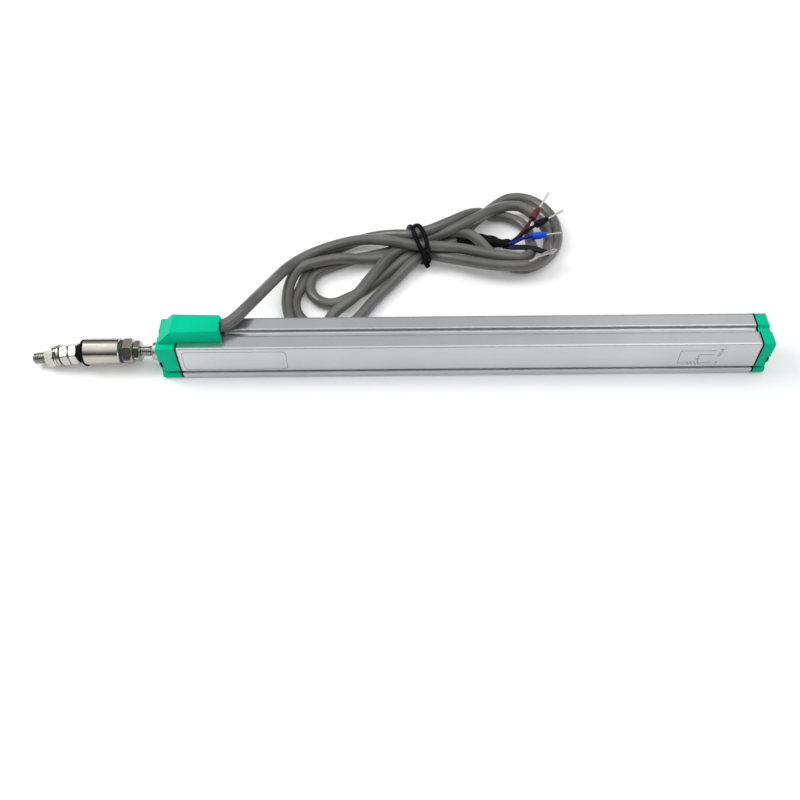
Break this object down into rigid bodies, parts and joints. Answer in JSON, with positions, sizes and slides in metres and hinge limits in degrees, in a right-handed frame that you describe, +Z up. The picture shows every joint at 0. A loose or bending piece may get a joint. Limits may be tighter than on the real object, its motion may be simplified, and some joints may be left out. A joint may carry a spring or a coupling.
{
  "type": "rod linear position sensor",
  "caption": "Slim linear position sensor: square extruded housing with moulded end caps, a sliding rod with a ball-jointed coupling, and a tied hank of cable with open leads.",
  "frame": {"origin": "centre of the extruded housing's flat base", "axes": "+X from the rod end to the rear cap, +Y to the side that the cable lies on, +Z up from the base"},
  "size_m": [0.3822, 0.1385, 0.03],
  "materials": {
    "anodised_aluminium": "satin",
    "green_plastic": "satin",
    "black_rubber": "matte",
    "black_screw": "satin",
    "guide_metal": "satin",
    "ground_steel": "polished",
    "nickel": "satin",
    "zinc_steel": "satin",
    "dark_ring": "matte",
    "spring_steel": "satin",
    "seat_plastic": "satin",
    "track_board": "satin",
    "contact_brass": "satin",
    "slider_plastic": "satin",
    "conductor_sheath": "satin",
    "cable_jacket": "satin",
    "tie_black": "satin",
    "shrink_black": "satin",
    "brown_sheath": "satin",
    "black_sheath": "satin",
    "blue_sheath": "satin",
    "collar_red": "satin",
    "collar_black": "satin",
    "collar_blue": "satin",
    "tinned_copper": "satin",
    "sleeve_dark": "satin"
  },
  "bodies": {
    "housing": {"housing_profile": "anodised_aluminium", "front_cap": "green_plastic", "rear_cap": "green_plastic", "front_gasket": "black_rubber", "rear_gasket": "black_rubber", "rod_wiper_seal": "black_rubber", "front_stop": "black_rubber", "rear_stop": "black_rubber", "cable_grommet": "black_rubber", "front_cap_screws": "black_screw", "rear_cap_screws": "black_screw", "rod_bush": "guide_metal", "track_strip": "track_board", "track_terminals": "contact_brass", "inner_conductors": "conductor_sheath", "cable_tube": "cable_jacket", "cable_hank": "cable_jacket", "cable_tie": "tie_black", "heat_shrink": "shrink_black", "lead_brown": "brown_sheath", "lead_black": "black_sheath", "lead_blue": "blue_sheath", "ferrule_collar_brown": "collar_red", "ferrule_collar_black": "collar_black", "ferrule_collar_blue": "collar_blue", "ferrule_pins": "tinned_copper", "shield_braid": "tinned_copper", "shield_sleeve": "sleeve_dark"},
    "rod": {"rod": "ground_steel", "carriage": "slider_plastic", "wiper_contacts": "contact_brass", "carriage_nut": "zinc_steel", "jam_nut": "nickel", "coupling_hex": "nickel", "coupling_ring": "dark_ring", "coupling_sleeve": "nickel", "seat_spring": "spring_steel"},
    "seat": {"ball_seat": "seat_plastic"},
    "stud": {"ball_stud": "zinc_steel", "dust_boot": "black_rubber", "stud_nut_inner": "zinc_steel", "flat_washer": "zinc_steel", "spring_washer": "zinc_steel", "stud_nut_outer": "zinc_steel"}
  },
  "joints": [
    {"name": "rod_slide", "type": "slide", "parent": "housing", "child": "rod", "axis": [-1, 0, 0], "range_m": [0, 0.255]},
    {"name": "ball_turn", "type": "hinge", "parent": "rod", "child": "seat", "pos_m": [-0.193, 0, 0.0091], "axis": [1, 0, 0], "continuous": true},
    {"name": "ball_tilt", "type": "hinge", "parent": "seat", "child": "stud", "pos_m": [-0.193, 0, 0.0091], "axis": [0, 1, 0], "range_deg": [-3.9, 21.1], "deforming": ["dust_boot"]}
  ]
}
